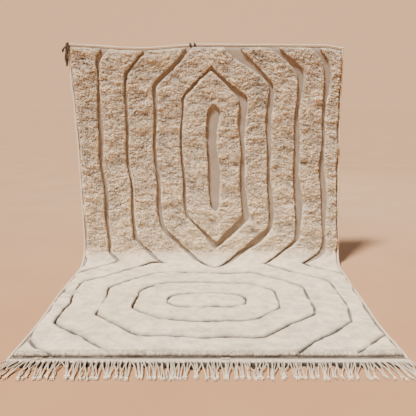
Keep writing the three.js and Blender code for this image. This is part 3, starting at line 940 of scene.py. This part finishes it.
def make_selvedge(side, name, node, material):
    step = 2.6
    pitch = 12
    sides = 8
    v = np.arange(0, PILE_LENGTH + step, step)
    u = side * (HALF_WIDTH - SELVEDGE_WIDTH / 2) + 0.8 * noise(v / 60, v * 0, 44)
    middle = together(u - side * 4, v, SELVEDGE_HEIGHT / 2 + 1.4)
    points, blocks = tube(middle, SELVEDGE_WIDTH / 2, sides)
    turn = np.tile(np.arange(sides) * 2 * math.pi / sides, len(v))
    run = np.repeat(v, sides)
    wrap = np.abs(np.sin(run / pitch * math.pi + turn / 2 + 0.6 * noise(run / 80, run * 0, 45)))
    centre = np.repeat(middle, sides, axis=0)
    points = centre + (points - centre) * (1.85, 1, 1.25) * (0.87 + 0.14 * wrap ** 0.5)[:, None]
    points[:, 2] = np.maximum(points[:, 2], 0.2)
    # Painted shade: darker in the grooves between the wraps and on the cord's inner side, next to the pile
    painted_inner_shade = smooth(1.0, 2.0, -side * (points[:, 0] - centre[:, 0]) / (SELVEDGE_WIDTH / 2))
    shade = blend(0.3, 0.9, smooth(0.0, 0.9, wrap)) * (1 - painted_inner_shade)
    return strand_piece(name, [(points, blocks)], material, node, [shade])


# Fringe

BUNCHES = 70
THREES_SHARE = 0.5
CROSSED_SHARE = 0.3
# A painted shadow under the strip: the length of a thin dark sheet under the fringe roots, how far it tucks
# under the strip, and the painted shade of the strip's underside
SHADOW_SHEET_LENGTH = 42
SHADOW_SHEET_TUCK = 8
UNDER_SHADE = 0.2
END_MARGIN = 16
FRINGE_LENGTH = 162
LENGTH_SPREAD = 6
KNOT_LENGTH = 24
LEAN_SPREAD = 17
SPLAY = 46
SPLAY_START = 700
GATHER = 0.045
CROSSING_LIFT = 2.5
THIRD_CORD = 0.15
BRUSH_YARNS = 4


def make_strip(material):
    across = np.linspace(-HALF_WIDTH, HALF_WIDTH, 401)
    down = np.linspace(0, 1, 10)
    share, u = (grid.ravel() for grid in np.meshgrid(down, across, indexing="ij"))
    v = STRIP_START + STRIP_WIDTH * share + 1.5 * noise(u / 30, share * 2, 51) * share
    crown = np.sin(np.clip(share, 0.04, 0.96) * math.pi) ** 0.35
    ridge = np.abs(np.sin(v / 9 * math.pi + 0.5 * noise(u / 50, share, 52)))
    lift = 1 + 0.9 * smooth(0.35, 0.9, share)
    w = STRIP_HEIGHT * lift * crown * (0.72 + 0.28 * ridge) + 0.7 * noise(u / 6, v / 6, 53)
    top = together(u, v, np.maximum(w, 0.6))
    strip = slab(len(down), len(across), top, together(u, v, 0))
    # Painted shade: the strip darker along its edge next to the pile and in the grooves between its ridges
    shade = smooth(-0.1, 0.2, share) * (0.4 + 0.5 * ridge)
    # A thin dark sheet under the fringe roots: painted shadow of the strip, standing for no part of the rug
    shadow_sheet_u = np.linspace(-HALF_WIDTH + 6, HALF_WIDTH - 6, 320)
    near = STRIP_END - SHADOW_SHEET_TUCK
    far = STRIP_END + SHADOW_SHEET_LENGTH * (1 + 0.6 * noise(shadow_sheet_u / 9, shadow_sheet_u * 0, 54))
    corners = ((near, 3.0), (far, 0.9), (far, 0.2), (near, 0.2))
    shadow_sheet = np.stack([together(shadow_sheet_u, shadow_sheet_v, shadow_sheet_w) for shadow_sheet_v, shadow_sheet_w in corners], axis=1).reshape(-1, 3)
    strands = [strip, (shadow_sheet, tube_faces(len(shadow_sheet_u), 4))]
    shades = [shade, np.full(len(u), UNDER_SHADE), np.zeros(len(shadow_sheet))]
    return strand_piece("front_strip", strands, material, "front_fringe", shades)


def curve_through(points, count):
    """A smooth curve through points, evenly stepped."""
    points = np.asarray(points, float)
    padded = np.concatenate([[2 * points[0] - points[1]], points, [2 * points[-1] - points[-2]]])
    places = np.linspace(0, len(points) - 1, count)
    row = np.minimum(places.astype(int), len(points) - 2)
    t = (places - row)[:, None]
    a, b, c, d = (padded[row + step] for step in range(4))
    return 0.5 * (2 * b + (c - a) * t + (2 * a - 5 * b + 4 * c - d) * t**2 + (3 * b - a - 3 * c + d) * t**3)


def cord_path(random, u, lean, side, crossed, knot_v):
    """The way of a fringe cord: out of the strip, down to the floor and together with its fellows."""
    root = u + side * random.uniform(9, 20)
    bow = u + lean * 0.4 + side * random.uniform(6, 16)
    waist = u + lean * 0.8 + side * random.uniform(3, 8)
    lift = 0
    if crossed:
        waist = u + lean * 0.8 - side * 5
        lift = CROSSING_LIFT * side
    hop = random.uniform(12, 18) * (0.6 if abs(side) < 1 else 1) + lift
    end_u = u + lean + side * random.uniform(2, 9)
    end_v = knot_v + random.uniform(-15, 6)
    path = curve_through([
        (root, STRIP_END - 9, 6.8),
        (root, STRIP_END + 5, 11.5),
        (bow, blend(STRIP_END, end_v, 0.42), hop),
        (waist, blend(STRIP_END, end_v, 0.78), 8.0 + lift),
        (end_u, end_v + 4, 5.2),
    ], 32)
    return path, end_u, end_v


def cord_end(random, u, v):
    """The knot of a cord, wound round itself, and the brush of loose yarn past it."""
    turn = np.linspace(0, 1.6 * 2 * math.pi, 16)
    spin = random.uniform(0, 6)
    share = np.linspace(0, 1, 16)
    coil = together(u + 3.9 * np.cos(turn + spin), v + 2 + 7 * share, 5.8 + 2.6 * np.sin(turn + spin))
    wound = tube(coil, 2.7 + 0.4 * np.sin(share * math.pi), 6, up=(0, 1, 0.01))
    core_path = [(u, v - 2, 4.5), (u, v + 3, 5.0), (u, v + 8, 5.0), (u, v + 13, 3.8)]
    core = tube(core_path, [2.4, 4.2, 4.2, 2.6], 6)
    strands = [wound, core]
    # Painted shade: the knot's coil darker low down near the floor and its core darker inside the coil; the
    # brush yarns get a random tone
    shades = [smooth(1, 9, wound[0][:, 2]) * 0.8 + 0.1, np.full(len(core[0]), 0.3)]
    for _ in range(BRUSH_YARNS):
        fan = random.uniform(-1, 1)
        length = random.uniform(7, 13)
        brush = curve_through([
            (u + fan * 2, v + 9, 4.2),
            (u + fan * 5, v + 9 + length * 0.5, random.uniform(3, 6)),
            (u + fan * 8, v + 9 + length, random.uniform(1.4, 3.2)),
        ], 4)
        strands.append(tube(brush, [2.0, 2.1, 1.8, 0.8], 4))
        shades.append(np.full(len(strands[-1][0]), random.uniform(0.4, 0.85)))
    return strands, shades


def make_fringe(material):
    random = np.random.default_rng(7)
    cords, cord_shades, knots, knot_shades = [], [], [], []
    for index in range(BUNCHES):
        u = blend(-1, 1, index / (BUNCHES - 1)) * (HALF_WIDTH - END_MARGIN)
        splay = math.copysign(SPLAY * smooth(SPLAY_START, HALF_WIDTH, abs(u)), u)
        gather = -GATHER * u * (1 - smooth(SPLAY_START - 100, SPLAY_START + 250, abs(u)))
        lean = splay + gather + random.uniform(-LEAN_SPREAD, LEAN_SPREAD)
        tip_v = STRIP_END + FRINGE_LENGTH + random.uniform(-LENGTH_SPREAD, LENGTH_SPREAD)
        crossed = random.uniform(0, 1) < CROSSED_SHARE
        sides = (-1, 1, THIRD_CORD) if random.uniform(0, 1) < THREES_SHARE else (-1, 1)
        for side in sides:
            path, end_u, end_v = cord_path(random, u, lean, side, crossed, tip_v - KNOT_LENGTH)
            reach = np.full(len(path), random.uniform(3.8, 4.8) * (0.8 if abs(side) < 1 else 1))
            start = random.uniform(0, 6)
            strands, shades = plied(path, reach, random.uniform(13, 17), sides=4, start=start)
            cords += strands
            for (points, _), shade in zip(strands, shades):
                # Painted shade: the twist's creases made deeper and the cords darker low down near the
                # floor
                painted_ply_shade = np.clip(1.3 * shade - 0.3, 0, 1)
                cord_shades.append(painted_ply_shade * blend(0.35, 1, smooth(1, 9, points[:, 2])))
            strands, shades = cord_end(random, end_u, end_v)
            knots += strands
            knot_shades += shades
    for points, _ in cords + knots:
        points[:, 2] = np.maximum(points[:, 2], 0.1)
    return [
        strand_piece("fringe_cords", cords, material, "front_fringe", cord_shades),
        strand_piece("fringe_knots", knots, material, "front_fringe", knot_shades),
    ]


# Ties and knots

CORNER_KNOT = (-994, -4, 20.5)
CORNER_TAILS = [
    (9.6, [(-2, 0, 8), (-9, -1, 34), (-12, 1, 68), (-9, 0, 104), (-11, 1, 144)]),
    (6.6, [(-4, 0, 4), (-20, 1, 14), (-30, 0, 30), (-38, 0, 50)]),
    (5.6, [(2, 3, 10), (5, 5, 26), (4, 4, 44)]),
]


def yarn_tail(centre, radius, points, random, yarns=7):
    """A tail of loose yarns that part a little, through points across, out and down from centre."""
    line = curve_through([centre, *(centre + np.multiply(points, (1, -1, -1)))], 30)
    share = np.linspace(0, 1, 30)
    strands = []
    for number in range(yarns):
        angle = number * 2 * math.pi / yarns + random.uniform(-0.4, 0.4) + share * 5
        offset = together(np.cos(angle), np.sin(angle), 0)
        wander = noise(share * 4 + 9 * number, share * 0, 61)[:, None] * (1, 0.6, 0)
        path = line + offset * radius * 0.55 + wander * radius * (0.2 + 0.5 * share[:, None])
        lumps = 1 + 0.16 * np.sin(share * 19 + number)
        thick = radius * 0.42 * (1 - 0.4 * share ** 4) * lumps
        strands.append(tube(path, thick, 6, up=(0, 1, 0)))
    return strands


def make_corner_tie(material):
    random = np.random.default_rng(3)
    centre = drape([CORNER_KNOT])[0] / MM
    strands = []
    for radius, points in CORNER_TAILS:
        strands += yarn_tail(centre, radius, points, random)
    for number in range(4):
        turn = np.linspace(0, 2 * math.pi, 22)
        tilt = random.uniform(-0.5, 0.5)
        height = (number - 1.5) * 8 + 4 * np.sin(turn + tilt * 4)
        loop = centre + together(8.5 * np.cos(turn), 5.5 * np.sin(turn), height)
        strands.append(tube(loop, 5.0, 8, up=(0, 0.1, 1)))
    return strand_piece("corner_yarn", strands, material, "corner_tie", place=in_metres)


def make_middle_tie(node, name, u, material):
    seat = HEAD_CORD_HEIGHT + 2 * GAP
    centre = drape([(u, -GAP - HEAD_CORD_WIDTH / 2, seat + 4.5)])[0] / MM
    strands = []
    for number in range(3):
        stitch = [(-1.5, 2.5, 12), (0, -1.5, 5), (0.6, -2, -5), (1.8, 2.5, -12)]
        path = curve_through(centre + ((number - 1) * 4.6, 0, 0) + stitch, 12)
        strands.append(tube(path, 3.3, 6, up=(0, 1, 0)))
    return strand_piece(name, strands, material, node, place=in_metres)


def make_end_knot(node, name, u, lean, material):
    v = STRIP_START + STRIP_WIDTH / 2
    centre = drape([(u, v, STRIP_HEIGHT + 2 * GAP + 6)])[0] / MM
    strands = []
    for side in (-1, 1):
        tail = [(0, 0, 2), (side * 13, 0, 0.5), (side * 25, -side * lean * 25, -1.5)]
        strands += plied(curve_through(centre + tail, 12), radius=3.6, pitch=12)[0]
    for number in range(3):
        turn = np.linspace(0, 2 * math.pi, 18)
        across = (number - 1) * 5.2 + 1.5 * np.sin(turn)
        loop = centre + together(across, 4.6 * np.cos(turn), 3.1 * np.sin(turn))
        strands.append(tube(loop, 2.8, 6, up=(1, 0.1, 0)))
    return strand_piece(name, strands, material, node, place=in_metres)


# Stage

def add_light(name, kind, place, direction, power, colour, **settings):
    """A light at a place that shines along a direction."""
    data = bpy.data.lights.new(name, kind)
    data.energy = power
    data.color = colour
    for key, value in settings.items():
        setattr(data, key, value)
    light = linked(name, data)
    light.location = place
    light.rotation_euler = aim(direction)


def aim(direction):
    """The turn that points a light along a direction."""
    yaw = math.atan2(direction[0], -direction[1])
    tilt = math.acos(-direction[2] / np.linalg.norm(direction))
    return tilt, 0, yaw + math.pi


def make_camera():
    data = bpy.data.cameras.new("camera")
    data.lens = CAMERA_LENS
    data.sensor_width = CAMERA_SENSOR
    camera = linked("camera", data)
    camera.location = CAMERA_PLACE
    camera.rotation_euler = (math.pi / 2 - CAMERA_PITCH, 0, 0)
    bpy.context.scene.camera = camera


def make_world():
    """A soft studio round the rug: pale low down, dimmer above and towards the front."""
    world = bpy.data.worlds.new("studio")
    world.use_nodes = True
    nodes = Nodes(world.node_tree)
    place = nodes.node("TexCoord")
    up = nodes.node("SeparateXYZ", {0: place}, output=2)
    colour = nodes.ramp(up, WORLD_TONES)
    along = up.node.outputs[1]
    strength = nodes.node("MapRange", {"Value": along, "From Min": -1, "To Min": WORLD_FRONT})
    nodes.put(nodes.tree.nodes["Background"], {"Color": colour, "Strength": strength})
    bpy.context.scene.world = world


def make_floor():
    """A plain warm floor, warmer towards the front."""
    corners = FLOOR_HALF * np.array([(-1, -1, 0), (1, -1, 0), (1, 1, 0), (-1, 1, 0)])
    mesh = as_mesh("floor", [(corners, [np.array([[0, 1, 2, 3]])])])
    shader = Shader("pale_floor", 0.75, 0.0)
    place = shader.node("TexCoord", output="Object")
    cloud = shader.noise(place, 1.7, 3)
    grain = shader.noise(place, 160, 2)
    tone = shader.sum((cloud, 0.7), (grain, 0.3))
    far = shader.ramp(tone, [(0.3, linear(180, 144, 113)), (0.7, linear(188, 152, 121))])
    near = shader.ramp(tone, [(0.3, linear(184, 138, 101)), (0.7, linear(192, 146, 109))])
    depth = shader.node("SeparateXYZ", {0: place}, output=1)
    colour = shader.mixed(shader.remap(depth, FLOOR_WARM_TO, FLOOR_WARM_FROM), far, near)
    mesh.materials.append(shader.finish(colour, grain, 0.0004, 0.5))
    floor = linked("floor", mesh)
    floor.location.z = -FLOOR_DROP


def add_lights():
    """A high sun from the front left that rakes over the pile, and a soft light behind."""
    place = np.multiply(KEY_DIRECTION, KEY_DISTANCE)
    away = np.multiply(KEY_DIRECTION, -1)
    add_light("key", "SUN", place, away, KEY_POWER, KEY_COLOUR, angle=KEY_SOFTNESS)
    add_light(
        "back_fill", "AREA", FILL_PLACE, FILL_DIRECTION, FILL_POWER, FILL_COLOUR,
        shape="DISK", size=FILL_SIZE,
    )


make_camera()
make_floor()
make_world()
add_lights()
wool = pile_material()
woven = ground_material()
cream_cord = cord_material("wool_cord", linear(28, 18, 11), linear(186, 163, 137), linear(248, 233, 212))
side_cord = cord_material("wool_selvedge", linear(90, 71, 54), linear(206, 189, 165), linear(238, 223, 200))
dark_yarn = cord_material("wool_dark", linear(18, 14, 10), linear(48, 39, 31), linear(120, 104, 88))

pile = make_pile(wool) + make_all_locks(wool)
ground = make_ground(woven)
trim = [
    make_head_cord(cream_cord),
    make_selvedge(-1, "selvedge_wrap_left", "selvedge_left", side_cord),
    make_selvedge(1, "selvedge_wrap_right", "selvedge_right", side_cord),
    make_strip(cream_cord),
    *make_fringe(cream_cord),
    make_corner_tie(dark_yarn),
    make_middle_tie("middle_tie_left", "stitch_left", -113, dark_yarn),
    make_middle_tie("middle_tie_right", "stitch_right", -82, dark_yarn),
    make_end_knot("end_knot_left", "knot_left", -851, -0.5, cream_cord),
    make_end_knot("end_knot_middle", "knot_middle", 92, 0.4, cream_cord),
]
